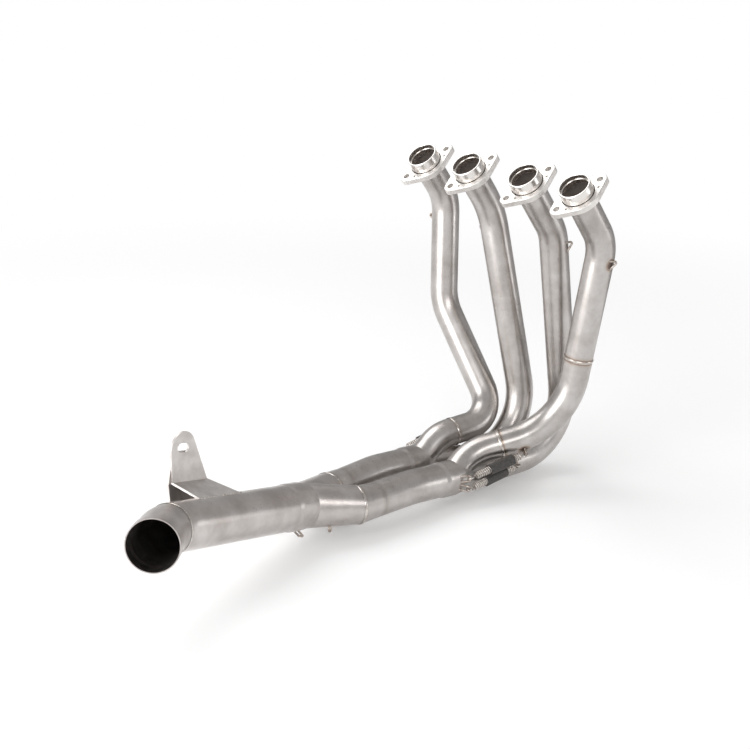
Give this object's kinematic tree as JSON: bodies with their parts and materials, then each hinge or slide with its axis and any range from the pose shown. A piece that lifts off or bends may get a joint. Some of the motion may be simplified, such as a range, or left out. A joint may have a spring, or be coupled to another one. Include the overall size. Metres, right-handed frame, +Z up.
{
  "type": "motorcycle exhaust header",
  "caption": "Steel exhaust header that joins four primary tubes in pairs and then into one tail pipe with a bracket tab.",
  "frame": {"origin": "middle of the row of four port mouths", "axes": "+X along the row of ports to the bike's right, +Y forward, +Z up"},
  "size_m": [0.325, 0.7482, 0.4351],
  "materials": {
    "bracket_steel": "blasted",
    "collar_steel": "turned",
    "flange_steel": "blasted",
    "hook_steel": "heat tinted",
    "sleeve_rubber": "matt",
    "spring_steel": "drawn wire",
    "tube_steel": "brushed",
    "weld_steel": "heat tinted"
  },
  "bodies": {
    "header": {"cup_hook_left_lower": "hook_steel", "cup_hook_left_upper": "hook_steel", "cup_hook_right_lower": "hook_steel", "cup_hook_right_upper": "hook_steel", "main_collector": "tube_steel", "main_hook_collector": "hook_steel", "main_hook_cup": "hook_steel", "merge_collector_left": "tube_steel", "merge_collector_right": "tube_steel", "merge_weld_1": "weld_steel", "merge_weld_2": "weld_steel", "merge_weld_3": "weld_steel", "merge_weld_4": "weld_steel", "port_collar_1": "collar_steel", "port_collar_2": "collar_steel", "port_collar_3": "collar_steel", "port_collar_4": "collar_steel", "port_hook_1": "hook_steel", "port_hook_2": "hook_steel", "port_hook_3": "hook_steel", "port_hook_4": "hook_steel", "primary_tube_1": "tube_steel", "primary_tube_2": "tube_steel", "primary_tube_3": "tube_steel", "primary_tube_4_lower": "tube_steel", "primary_tube_4_upper": "tube_steel", "primary_weld_4": "weld_steel", "secondary_tube_left": "tube_steel", "secondary_tube_right": "tube_steel", "secondary_wedge_left": "tube_steel", "secondary_wedge_right": "tube_steel", "secondary_weld_left": "weld_steel", "secondary_weld_right": "weld_steel", "spring_left_lower": "spring_steel", "spring_left_upper": "spring_steel", "spring_right_lower": "spring_steel", "spring_right_upper": "spring_steel", "spring_sleeve_left_lower": "sleeve_rubber", "spring_sleeve_left_upper": "sleeve_rubber", "spring_sleeve_right_lower": "sleeve_rubber", "spring_sleeve_right_upper": "sleeve_rubber", "tail_bracket_gusset": "bracket_steel", "tail_bracket_tab": "bracket_steel", "tail_outlet": "tube_steel", "tail_pipe": "tube_steel", "tail_weld": "weld_steel", "tube_hook_left_lower": "hook_steel", "tube_hook_left_upper": "hook_steel", "tube_hook_right_lower": "hook_steel", "tube_hook_right_upper": "hook_steel"},
    "flange_1": {"port_flange_1": "flange_steel"},
    "flange_2": {"port_flange_2": "flange_steel"},
    "flange_3": {"port_flange_3": "flange_steel"},
    "flange_4": {"port_flange_4": "flange_steel"}
  },
  "joints": [
    {"name": "flange_swivel_1", "type": "hinge", "parent": "header", "child": "flange_1", "pos_m": [-0.134, 0, 0], "axis": [0, -0.6018, 0.7986], "continuous": true},
    {"name": "flange_swivel_2", "type": "hinge", "parent": "header", "child": "flange_2", "pos_m": [-0.05, 0, 0], "axis": [0, -0.6018, 0.7986], "continuous": true},
    {"name": "flange_swivel_3", "type": "hinge", "parent": "header", "child": "flange_3", "pos_m": [0.05, 0, 0], "axis": [0, -0.6018, 0.7986], "continuous": true},
    {"name": "flange_swivel_4", "type": "hinge", "parent": "header", "child": "flange_4", "pos_m": [0.134, 0, 0], "axis": [0, -0.6018, 0.7986], "continuous": true}
  ]
}
